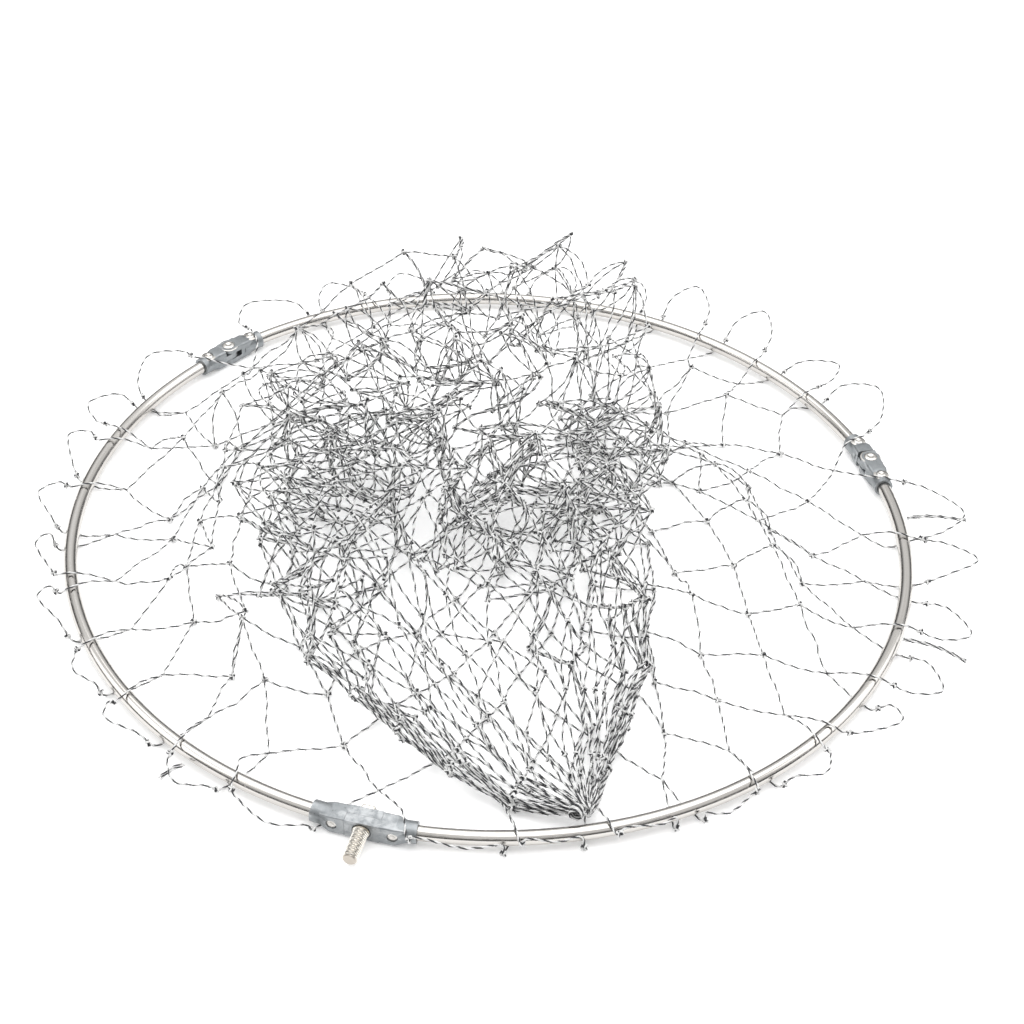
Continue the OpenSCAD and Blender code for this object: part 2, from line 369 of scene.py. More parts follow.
def pick(o, test):
    """Selects the faces whose middle and normal pass the test, in edit mode"""
    mesh = bmesh.from_edit_mesh(o.data)
    for face in mesh.faces:
        face.select = bool(test(face.calc_center_median(), face.normal))
    bmesh.update_edit_mesh(o.data)


def pick_edges(o, test):
    """Selects the edges whose two ends pass the test, in edit mode"""
    mesh = bmesh.from_edit_mesh(o.data)
    for edge in mesh.edges:
        edge.select = bool(test(edge.verts[0].co, edge.verts[1].co))
    bmesh.update_edit_mesh(o.data)


def settle(o, matrix=None):
    """Bakes the object's place into its mesh"""
    if matrix is not None:
        o.matrix_world = matrix @ o.matrix_world
    only(o)
    bpy.ops.object.transform_apply(location=True, rotation=True, scale=True)


def outward(o):
    """Merges points that coincide and turns all faces outwards"""
    edit(o, "VERT", "SELECT")
    bpy.ops.mesh.remove_doubles(threshold=MERGE_STEP)
    bpy.ops.mesh.normals_make_consistent(inside=False)
    done()


def combine(o, other, operation):
    """Joins another closed shape to this one, or cuts it out, and removes the other"""
    only(o)
    tool = o.modifiers.new("join", "BOOLEAN")
    tool.object, tool.operation, tool.solver = other, operation, "EXACT"
    bpy.ops.object.modifier_apply(modifier=tool.name)
    bpy.data.objects.remove(other)


def round_edges(o, width, segments, angle=30):
    """Rounds the edges that are sharper than the angle"""
    only(o)
    tool = o.modifiers.new("round", "BEVEL")
    tool.width, tool.segments, tool.limit_method = width, segments, "ANGLE"
    tool.angle_limit = math.radians(angle)
    bpy.ops.object.modifier_apply(modifier=tool.name)


def shade(o, angle):
    """Shades a mesh smooth, but for edges sharper than the angle"""
    only(o)
    bpy.ops.object.shade_smooth_by_angle(angle=math.radians(angle))


def soften(o):
    """Rounds a casting's edges, and shades the rest smooth"""
    edit(o, "VERT", "SELECT")
    bpy.ops.mesh.remove_doubles(threshold=MERGE_STEP)
    bpy.ops.mesh.dissolve_degenerate(threshold=MERGE_STEP)
    bpy.ops.mesh.dissolve_limited(angle_limit=math.radians(0.4))
    done()
    round_edges(o, CAST_ROUNDING, 3, 34)
    outward(o)
    shade(o, 44)
    even = o.modifiers.new("even", "WEIGHTED_NORMAL")
    even.keep_sharp = True
    even.weight = 100
    bpy.ops.object.modifier_apply(modifier=even.name)


def finish_piece(o, name, material, body, node):
    """Names a piece, gives it its look and body, and hides the solid it stands for"""
    o.name = o.data.name = name
    o.data.materials.clear()
    o.data.materials.append(material)
    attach(o, body)
    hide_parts(node)


# ---- tubes


def ring_run(start, end, outer, inner, steps):
    """Bar bent to the hoop's curve between two hoop angles, or a pipe if it has an inner radius"""
    first = math.radians(start)
    bpy.ops.mesh.primitive_circle_add(
        vertices=TUBE_SIDES, radius=outer, fill_type="NGON", rotation=(math.pi / 2, 0, first),
        location=(HOOP_R * math.cos(first), HOOP_Y + HOOP_R * math.sin(first), 0),
    )
    o = bpy.context.object
    settle(o)
    edit(o, action="SELECT")
    if inner:
        bpy.ops.mesh.inset(thickness=outer - inner)
        bpy.ops.mesh.delete(type="FACE")
        bpy.ops.mesh.select_all(action="SELECT")
    bpy.ops.mesh.spin(
        steps=steps, angle=math.radians(end - start), center=(0, HOOP_Y, 0), axis=(0, 0, -1),
    )
    done()
    outward(o)
    return o


def arc_tube(body, start, end):
    """The steel tube of one arc, which ends inside its two sockets"""
    o = ring_run(start, end, TUBE_R, TUBE_R - TUBE_WALL, ARC_STEPS)
    shade(o, 38)
    finish_piece(o, body + "_polished_tube", TUBE_STEEL, body, body + "_tube")


HINGE_TUBE_END, FRONT_TUBE_END = along(0.0129), along(0.0132)
arc_tube("rear_arc", RIGHT_HINGE + HINGE_TUBE_END, LEFT_HINGE - HINGE_TUBE_END)
arc_tube("left_arc", LEFT_HINGE + HINGE_TUBE_END, FRONT - FRONT_TUBE_END)
arc_tube("right_arc", FRONT + FRONT_TUBE_END, RIGHT_HINGE + 360 - HINGE_TUBE_END)

# ---- shapes in a connector's own frame,
# in millimetres: X outwards from the hoop's centre, Y anticlockwise along the tube, Z up.
# THROUGH is how far cutting tools reach, beyond any casting

MM = 0.001
THROUGH = 9.0
PIN_GAP, HEAD_GAP = 0.05, 0.1
SLEEVE_BORE, SLEEVE_STEPS = 4.25, 14
SLOT_DEPTH, HINGE_BLOCK_END, HINGE_REACH, HINGE_RIVET = 6.2, 12.5, 24.5, 17.5
TONGUE_HALF, SLOT_HALF, TONGUE_R, SHOULDER = 1.9, 2.1, 5.2, 6.5
LAP_HALF, FRONT_BLOCK_END, FRONT_REACH, FRONT_RIVET = 9.0, 20.0, 27.3, 15.5
PIVOT_R, PIVOT_HEAD_R, RIVET_R, RIVET_HEAD_R, FRONT_HEAD_R = 2.5, 4.0, 1.9, 3.0, 2.8
EAR_REACH = 6.0
HALF_W, HALF_H = 5.5, 5.75
PIVOT_SEAT, HINGE_SEAT, FRONT_SEAT = HALF_H - 0.2, HALF_H - 0.55, HALF_W - 0.55
NECK_LENGTH, NECK_SHARE, NECK_INWARDS = 5.5, 0.74, 0.55
CHEEK_EDGE, HINGE_EDGE, LAP_EDGE = 0.8, 1.5, 0.9
LAP_GAP, HALF_LAP_GAP = 0.15, 0.05
STUD_HOLE, DROP_HOLE = 4.45, 4.9
FRONT_BORE_START = 12.8


def box(low, high):
    """Block between two corners, for shaping further"""
    bpy.ops.mesh.primitive_cube_add(size=1)
    o = bpy.context.object
    low, high = Vector(low) * MM, Vector(high) * MM
    o.location, o.scale = (low + high) / 2, high - low
    settle(o)
    return o


def rod(axis, radius, start, end, vertices=48):
    """Cylinder along X or Z between two places on it"""
    turn = {"X": (0, math.pi / 2, 0), "Z": (0, 0, 0)}[axis]
    middle = Vector((0, 0, 0))
    middle["XYZ".index(axis)] = (start + end) / 2
    bpy.ops.mesh.primitive_cylinder_add(
        vertices=vertices, radius=radius * MM, depth=(end - start) * MM,
        location=middle * MM, rotation=turn,
    )
    o = bpy.context.object
    settle(o)
    return o


def round_long_edges(o, width):
    """Rounds the edges of a block that run along Y"""
    edit(o, "EDGE")
    pick_edges(o, lambda a, b: abs(a.y - b.y) > 1e-4)
    bpy.ops.mesh.bevel(offset=width * MM, segments=5, affect="EDGES")
    done()


def draw_out(o, side):
    """Tapers a block towards its sleeve: its end is extruded along the tube and made smaller"""
    edit(o)
    pick(o, lambda middle, normal: normal.y * side > 0.9)
    bpy.ops.mesh.extrude_region_move(
        TRANSFORM_OT_translate={"value": (-NECK_INWARDS * MM, side * NECK_LENGTH * MM, 0)},
    )
    bpy.ops.transform.resize(value=(NECK_SHARE, 1, NECK_SHARE))
    done()


def sleeve_shape(angle, side, start, end, radius):
    """Stretch of a round bar along the tube, in the frame of the connector at that angle"""
    low, high = sorted(angle + side * along(place * MM) for place in (start, end))
    o = ring_run(low, high, radius * MM, 0, SLEEVE_STEPS)
    settle(o, hoop_place(angle).inverted())
    return o


def socket_body(angle, side, block_start, block_end, reach, head, edge):
    """Casting with a sleeve on one side and a block that the head shape grows from"""
    low, high = sorted((side * block_start, side * block_end))
    block = box((-HALF_W, low, -HALF_H), (HALF_W, high, HALF_H))
    round_long_edges(block, edge)
    draw_out(block, side)
    body = sleeve_shape(angle, side, block_end - 3, reach, HALF_H)
    combine(body, block, "UNION")
    combine(body, head, "UNION")
    return body


def bore_out(body, angle, side, start, reach):
    """Bores the sleeve for its tube, from the tube's end to past the sleeve's mouth"""
    combine(body, sleeve_shape(angle, side, start, reach + 1.5, SLEEVE_BORE), "DIFFERENCE")


def cut_seat(body, turn, axis, shank, head, face):
    """Hole for a rivet's shank, and a flat seat for its head on both sides"""
    tools = [rod(axis, shank + PIN_GAP, -THROUGH, THROUGH)]
    for low, high in ((face, THROUGH), (-THROUGH, -face)):
        tools.append(rod(axis, head + HEAD_GAP, low, high))
    for tool in tools:
        settle(tool, turn)
        combine(body, tool, "DIFFERENCE")


def cut_seat_at(body, angle, offset, *seat):
    """Rivet seat at a place along the tube, square to the tube there"""
    turn = hoop_place(angle).inverted() @ hoop_place(angle + along(offset * MM))
    cut_seat(body, turn, *seat)


def finish_casting(body, name, angle, owner, node):
    soften(body)
    settle(body, hoop_place(angle))
    finish_piece(body, name, CAST_ZINC, owner, node)


def clevis(name, angle, lean, owner, node):
    """Forked half of a hinge: two round cheeks either side of a slot, and a sleeve behind them"""
    head = rod("Z", HALF_W, -HALF_H, HALF_H, vertices=64)
    cheeks = box((-HALF_W, -SLOT_DEPTH - 1, -HALF_H), (HALF_W, 0, HALF_H))
    round_long_edges(cheeks, CHEEK_EDGE)
    combine(head, cheeks, "UNION")
    combine(head, box((0, -0.01, -HALF_H), (HALF_W, EAR_REACH, HALF_H)), "UNION")
    combine(head, box((-20, -SLOT_DEPTH, -SLOT_HALF), (20, 20, SLOT_HALF)), "DIFFERENCE")
    leaning = Matrix.Rotation(math.radians(-lean), 4, "X")
    settle(head, leaning)
    body = socket_body(angle, -1, SLOT_DEPTH, HINGE_BLOCK_END, HINGE_REACH, head, HINGE_EDGE)
    bore_out(body, angle, -1, HINGE_BLOCK_END, HINGE_REACH)
    cut_seat(body, leaning, "Z", PIVOT_R, PIVOT_HEAD_R, PIVOT_SEAT)
    cut_seat_at(body, angle, -HINGE_RIVET, "Z", RIVET_R, RIVET_HEAD_R, HINGE_SEAT)
    finish_casting(body, name, angle, owner, node)


def tongue(name, angle, lean, owner, node):
    """Flat half of a hinge: an eye that turns in the clevis's slot, and a sleeve behind it"""
    head = rod("Z", TONGUE_R, -TONGUE_HALF, TONGUE_HALF, vertices=64)
    combine(head, box((-TONGUE_R, 0, -TONGUE_HALF), (TONGUE_R, SHOULDER + 1, TONGUE_HALF)), "UNION")
    leaning = Matrix.Rotation(math.radians(-lean), 4, "X")
    settle(head, leaning)
    body = socket_body(angle, 1, SHOULDER, HINGE_BLOCK_END, HINGE_REACH, head, HINGE_EDGE)
    bore_out(body, angle, 1, HINGE_BLOCK_END, HINGE_REACH)
    tool = rod("Z", PIVOT_R + PIN_GAP, -THROUGH, THROUGH)
    settle(tool, leaning)
    combine(body, tool, "DIFFERENCE")
    cut_seat_at(body, angle, HINGE_RIVET, "Z", RIVET_R, RIVET_HEAD_R, HINGE_SEAT)
    finish_casting(body, name, angle, owner, node)


def lap_socket(name, side, hole, owner, node):
    """Half of the front joint: the left one has the inner lap, the right one the outer lap"""
    if side < 0:
        corners = (-HALF_W, -LAP_HALF, -HALF_H), (-HALF_LAP_GAP, LAP_HALF - LAP_GAP, HALF_H)
    else:
        corners = (HALF_LAP_GAP, LAP_GAP - LAP_HALF, -HALF_H), (HALF_W, LAP_HALF, HALF_H)
    head, block_end = box(*corners), FRONT_BLOCK_END - 3
    body = socket_body(FRONT, side, LAP_HALF - 0.01, block_end, FRONT_REACH, head, LAP_EDGE)
    bore_out(body, FRONT, side, FRONT_BORE_START, FRONT_REACH)
    combine(body, rod("X", hole, -THROUGH, THROUGH), "DIFFERENCE")
    cut_seat_at(body, FRONT, side * FRONT_RIVET, "X", RIVET_R, FRONT_HEAD_R, FRONT_SEAT)
    finish_casting(body, name, FRONT, owner, node)


clevis("left_hinge_fork", LEFT_HINGE, PIVOT_LEAN, "rear_arc", "left_hinge_clevis")
tongue("left_hinge_eye", LEFT_HINGE, PIVOT_LEAN, "left_arc", "left_hinge_tongue")
clevis("right_hinge_fork", RIGHT_HINGE, 0, "right_arc", "right_hinge_clevis")
tongue("right_hinge_eye", RIGHT_HINGE, 0, "rear_arc", "right_hinge_tongue")
lap_socket("inner_lap_casting", -1, STUD_HOLE, "left_arc", "inner_lap_socket")
lap_socket("outer_lap_casting", 1, DROP_HOLE, "right_arc", "outer_lap_socket")

# ---- rivets and the handle stud

RIVET_ROUNDING = 0.00011
RAISED, FLUSH = 0.95, 0.6
DIMPLE_SHARE = 0.62


def rivet(name, angle, lean, axis, shank, head, face, height, owner, node):
    """Tubular rivet: both ends of a round shank are drawn out into rolled, dimpled heads"""
    o = rod("Z", shank, -face, face)
    dimple = shank * DIMPLE_SHARE
    profile = (
        (0, head), (0.35, head), (0.45, head - 0.7),
        (0.2, dimple + 0.5), (-0.45, dimple), (-0.25, 0.3),
    )
    for end in (1, -1):
        edit(o)
        pick(o, lambda middle, normal: normal.z * end > 0.9)
        radius = shank
        for rise, wide in profile:
            bpy.ops.mesh.extrude_region_move(
                TRANSFORM_OT_translate={"value": (0, 0, end * rise * height * MM)},
            )
            bpy.ops.transform.resize(value=(wide / radius, wide / radius, 1))
            radius = wide
        done()
    if axis == "X":
        settle(o, Matrix.Rotation(math.pi / 2, 4, "Y"))
    round_edges(o, RIVET_ROUNDING, 2)
    outward(o)
    shade(o, 50)
    settle(o, hoop_place(angle, lean))
    finish_piece(o, name, RIVET_STEEL, owner, node)


for side, angle, lean, fork_body, eye_body in (
    ("left", LEFT_HINGE, PIVOT_LEAN, "rear_arc", "left_arc"),
    ("right", RIGHT_HINGE, 0, "right_arc", "rear_arc"),
):
    step = along(HINGE_RIVET * MM)
    rivet(side + "_pivot_pin", angle, lean, "Z", PIVOT_R, PIVOT_HEAD_R, PIVOT_SEAT, RAISED,
          fork_body, side + "_pivot_rivet")
    rivet(side + "_fork_pin", angle - step, 0, "Z", RIVET_R, RIVET_HEAD_R, HINGE_SEAT, RAISED,
          fork_body, side + "_clevis_rivet")
    rivet(side + "_eye_pin", angle + step, 0, "Z", RIVET_R, RIVET_HEAD_R, HINGE_SEAT, RAISED,
          eye_body, side + "_tongue_rivet")
for side, name, body in ((-1, "left", "left_arc"), (1, "right", "right_arc")):
    angle = FRONT + side * along(FRONT_RIVET * MM)
    rivet(name + "_socket_pin", angle, 0, "X", RIVET_R, FRONT_HEAD_R, FRONT_SEAT, FLUSH,
          body, name + "_socket_rivet")

THREAD_R, THREAD_ROOT, THREAD_PITCH, THREAD_LENGTH = 3.95, 3.28, 1.25, 19.0
ROOT_FLAT, FLANK_SHARE = 0.14, 0.66
TIP_LENGTH, TIP_SLOPE = 0.9, 0.95
SHANK_R, SHANK_START, HEX_R = 4.4, -6.5, 6.2


def threaded_stud():
    """Stud with a rolled thread, a plain shank inside the laps and a hexagon head behind them"""
    o = rod("Z", THREAD_R, HALF_W, HALF_W + THREAD_LENGTH, vertices=56)
    edit(o, "EDGE")
    pick_edges(o, lambda a, b: abs(a.z - b.z) > 1e-3)
    bpy.ops.mesh.subdivide(number_cuts=180)
    done()
    for v in o.data.vertices:
        turn = math.atan2(v.co.y, v.co.x) / (2 * math.pi)
        high = v.co.z / MM
        phase = (high / THREAD_PITCH - turn) % 1.0
        flank = min(1.0, max(0.0, (abs(phase - 0.5) * 2 - ROOT_FLAT) / FLANK_SHARE))
        depth = (THREAD_R - THREAD_ROOT) * (1 - flank)
        tip = max(0.0, high - (HALF_W + THREAD_LENGTH - TIP_LENGTH))
        radius = min(THREAD_R - depth, THREAD_R - tip * TIP_SLOPE)
        if high > HALF_W + 0.01:
            v.co.x, v.co.y = (c / math.hypot(v.co.x, v.co.y) * radius * MM for c in (v.co.x, v.co.y))
    combine(o, rod("Z", SHANK_R, SHANK_START, HALF_W + 0.3), "UNION")
    head = rod("Z", HEX_R, -HALF_W - 2.45, -HALF_W - 0.05, vertices=6)
    round_edges(head, 0.0004, 3)
    combine(o, head, "UNION")
    shade(o, 32)
    settle(o, hoop_place(FRONT) @ Matrix.Rotation(math.pi / 2, 4, "Y"))
    finish_piece(o, "threaded_handle_stud", THREAD_STEEL, "left_arc", "handle_stud")


threaded_stud()

# ---- netting, worked out in millimetres
# from the hoop's centre and turned into metres when its pieces are made

R = HOOP_R * 1000
BAR = 38.0
ROWS = 27
MESHES = 30
LOOPS_AN_ARC = 10
LACING_CLEAR = 46.5
TIE = np.array([106.0, -214.0, 6.5])
TIE_R = 2.2
NET_FLOOR, ON_FLOOR = -5.6, -4.8
TUBE_CLEAR = 5.5
TWINE_R = 0.70
TWINE_SIDES = 6
PLY_PITCH = 7.8
KNOT_R = 1.9
BAR_SAMPLES, LOOP_SAMPLES, END_SAMPLES = 32, 110, 28
STRANDS_A_PIECE = 400
# The outermost rows of bars at each side that turn with their arc, and how far in they do so
LEFT_ROWS, RIGHT_ROWS = 9, 7
BEND_DEPTH = 55.0
rng = np.random.default_rng(11)


def ease(t):
    t = np.clip(t, 0, 1)
    return t * t * (3 - 2 * t)


def spline(a, b, c, d, u):
    """Smooth way from b to c, with a before them and d after them"""
    bend = (2 * a - 5 * b + 4 * c - d) * u**2 + (3 * b - a - 3 * c + d) * u**3
    return 0.5 * (2 * b + (c - a) * u + bend)


def curve(points, t):
    """Smooth curve through points that are spread evenly over t from 0 to 1"""
    p = np.asarray(points, float)
    last = len(p) - 1
    x = np.clip(np.asarray(t, float), 0, 1) * last
    i = np.minimum(x.astype(int), last - 1)
    u = x - i
    if p.ndim > 1:
        u = u[..., None]
    return spline(p[np.maximum(i - 1, 0)], p[i], p[i + 1], p[np.minimum(i + 2, last)], u)


def lacing_angles():
    """Hoop angles of the middles of the lacing loops, clear of the connectors"""
    free = R * math.radians(120) - 2 * LACING_CLEAR
    return np.array([
        start + math.degrees((LACING_CLEAR + i * free / (LOOPS_AN_ARC - 1)) / R)
        for start in (RIGHT_HINGE, LEFT_HINGE, FRONT) for i in range(LOOPS_AN_ARC)
    ])


LOOP_AT = lacing_angles()


def lacing_angle(place):
    """Hoop angle of a place counted in loops, where whole numbers are their middles"""
    angles = np.concatenate([LOOP_AT - 360, LOOP_AT, LOOP_AT + 360])
    return np.interp(np.asarray(place, float) % MESHES, np.arange(-MESHES, 2 * MESHES), angles)


def knot_angle(row, j):
    """Hoop angle of a knot: every other row lies half a mesh further round"""
    return float(lacing_angle(j + (0.5 if row % 2 == 0 else 0.0)))


# The gathered bag as it lies, drawn out from its crest to its tied end. CREST has a point for
# each 30 degrees round the hoop, and the lists after it run from the crest to the tied end
CREST = [
    (72, 100, 26), (66, 140, 58), (44, 166, 88), (20, 176, 102), (-44, 160, 96), (-90, 144, 82),
    (-150, 92, 46), (-163, 22, 20), (-128, -28, 6), (-40, -28, 3), (30, 10, 3), (62, 50, 5),
]
LEFT_SIDE = [(-172, 30), (-146, -50), (-92, -122), (-8, -182), (50, -208), (106, -214)]
LEFT_SKIRT = [(-168, -15), (-152, -72), (-92, -128), (-8, -188), (48, -209), (106, -214)]
RIGHT_SIDE = [(70, 120), (98, 45), (106, -30), (111, -100), (112, -160), (106, -214)]
BAG_TOP = [100, 80, 58, 38, 21, 9]
UNDER_BAG = np.array([22.0, 92.0, 2.0])
# The fold on the right: its middle, its hoop angle and how many degrees it gathers either way
FOLD, FOLD_AT, FOLD_WIDTH = np.array([122.0, 112.0, 7.0]), 14, 34
# The heap's nests lie within these half sizes of this middle
NEST_SPREAD, NEST_MIDDLE = [124, 92, 28], [-52, 36, 38]
CELLS, CROWD_CELL, CROWD_PUSH, CROWD_MOST = 32, 16.0, 0.7, 1.6
RELAX_ROUNDS = 60
# Y places, and the X that the heap's right edge has at each
RIGHT_EDGE = ([-214, -160, -100, -30, 45, 120, 180], [108, 113, 112, 108, 98, 74, 46])


def crest_ring(theta):
    """Points of the heap's crest at an array of hoop angles"""
    p = np.array(CREST, float)
    n = len(p)
    turns = (theta / 30.0) % n
    i = turns.astype(int)
    return spline(p[(i - 1) % n], p[i % n], p[(i + 1) % n], p[(i + 2) % n], (turns - i)[..., None])


def drawn_bag(w, theta):
    """Point of the bag between its crest, where w is 0, and its tied end, where w is 1"""
    t = math.radians(theta)
    c, s = math.cos(t), math.sin(t)
    left, right, top = curve(LEFT_SIDE, w), curve(RIGHT_SIDE, w), curve(BAG_TOP, w)
    low = float(ease(-s / 0.6))
    left = left * (1 - low) + curve(LEFT_SKIRT, w) * low
    across = (1 + math.copysign(abs(c) ** 0.75, c)) / 2
    up = (1 + s) / 2
    side = left * (1 - across) + right * across
    z = 1 + (top - 1) * up**0.8 * (1 - 0.25 * abs(c) ** 3)
    tube = np.stack([side[:, 0], side[:, 1] + (1 - w) ** 2 * 20 * s, z], -1)
    crest = crest_ring(np.full(len(w), float(theta % 360)))
    share = ease(w / 0.4)[:, None]
    return crest * (1 - share) + tube * share


def inward_path(theta, crest):
    """Way of the netting from the hoop in to its crest: flat on the ground, then up. On the right
    it runs on under the bag and climbs inside it, and a few meshes there gather in one fold"""
    t = math.radians(theta)
    c, s = math.cos(t), math.sin(t)
    start = np.array([(R - 24) * c, (R - 24) * s, -1.0])
    u = np.linspace(0, 1, 31)
    rear = max(0.0, s)
    foot = 0.62 * (1 - rear)
    left_run = start + (crest - start) * u[:, None]
    left_run[:, 2] = start[2] * (1 - u) + crest[2] * ease((u - foot) / (1 - foot))
    left_run[:, 2] -= 3.0 * np.sin(np.pi * np.clip(u * 1.3, 0, 1)) * (1 - rear)
    gathered = fold_share(theta)
    via = start + (UNDER_BAG - start) * 0.42
    via = via * (1 - gathered) + FOLD * gathered
    right_run = curve([start, via, UNDER_BAG, (UNDER_BAG + crest) / 2, crest], u)
    right = float(ease((c + 0.02) / 0.16)) * float(ease((s + 0.75) / 0.4))
    return left_run * (1 - right) + right_run * right


def fold_share(theta):
    """How far the meshes at one hoop angle are gathered in the fold on the right"""
    off = abs((theta - FOLD_AT + 180) % 360 - 180)
    return 0.85 * (1 - float(ease(off / FOLD_WIDTH)))


def lengths_along(line):
    """Length from a line's start to each of its points"""
    return np.concatenate([[0], np.cumsum(np.linalg.norm(np.diff(line, axis=0), axis=1))])


def meridian(theta, reach, length, phase, nest):
    """Where a knot lies that is a given length of netting in from the hoop at one angle. The
    slack netting of each meridian is drawn towards its own two places in the heap, its nests"""
    t = math.radians(theta)
    c, s = math.cos(t), math.sin(t)
    bag = drawn_bag(np.linspace(0, 1, 41), theta)
    rear = max(0.0, s)
    inward = inward_path(theta, bag[0])
    way = np.concatenate([inward, bag[1:]])
    far = lengths_along(way)
    run_length, whole = far[len(inward) - 1], far[-1]
    spare = max(0.0, length - whole)
    kept = max(rear, float(ease((c + 0.25) / 0.5)))
    slack_from = (0.58 + 0.45 * kept) * run_length
    slack_to = run_length + 0.60 * (whole - run_length)
    share = (reach - slack_from) / (slack_to - slack_from + spare)
    if share <= 0:
        d, slack = reach, 0.0
    elif share < 1:
        d, slack = slack_from + share * (slack_to - slack_from), math.sin(math.pi * share)
    else:
        d, slack = min(reach - spare, whole), 0.0
    p = np.array([np.interp(d, far, way[:, k]) for k in range(3)])
    u = min(max(share, 0), 1)
    waves = 1.3 + spare / 110.0
    size = spare / (4.0 * waves) * 0.9 * slack
    k = 2 * math.pi * waves * u
    off = np.array([-s, c, 0.0]) * 0.8 * math.sin(k + phase[0])
    off += np.array([c, s, 0.0]) * 0.55 * math.cos(k * 0.8 + phase[1])
    off += np.array([0, 0, 1.0]) * (0.12 + 0.62 * math.sin(k * 1.1 + phase[2]))
    to_nest = nest[0] * (1 - u) + nest[1] * u - p
    most = 0.22 * spare / (np.linalg.norm(to_nest) + 1e-9)
    return p + off * size + to_nest * min(0.8, most) * slack


def laid_knots():
    """Where each knot of the bag lies before the netting is relaxed, row by row from the hoop"""
    gain = np.interp(np.arange(ROWS - 1), [0, 4, 9], [29.8, 32.5, 37.0])
    reach = np.concatenate([[0.0], np.cumsum(gain)])
    swirl = rng.normal(size=(3, 5, 2))
    step = np.arange(2 * MESHES)[:, None] * [0.6180, 0.7549, 0.5698]
    spread = (2 * (step % 1) - 1).reshape(2, MESHES, 3) * NEST_SPREAD + NEST_MIDDLE
    nests = np.concatenate([spread, spread[:, :1]], 1)
    knots = []
    for row in range(ROWS):
        for j in range(MESHES):
            theta = knot_angle(row, j)
            a = math.radians(theta)
            phase = [
                1.2 * sum(
                    wave[0] * math.cos((m + 1) * a) + wave[1] * math.sin((m + 1) * a)
                    for m, wave in enumerate(waves)
                )
                for waves in swirl
            ]
            at = (j + 0.5 * (1 - row % 2)) % MESHES
            nest = nests[:, int(at)] * (1 - at % 1) + nests[:, int(at) + 1] * (at % 1)
            knots.append(meridian(theta, reach[row], reach[-1], phase, nest))
    return np.array(knots)


def bar_pairs():
    """The two knots of each bar: two bars run inwards from every knot but the last row's"""
    bars = []
    for row in range(ROWS - 1):
        for j in range(MESHES):
            here, below = row * MESHES + j, (row + 1) * MESHES
            right, left = (j + 1, j) if row % 2 == 0 else (j, j - 1)
            bars += [(here, below + right % MESHES), (here, below + left % MESHES)]
    return np.array(bars)


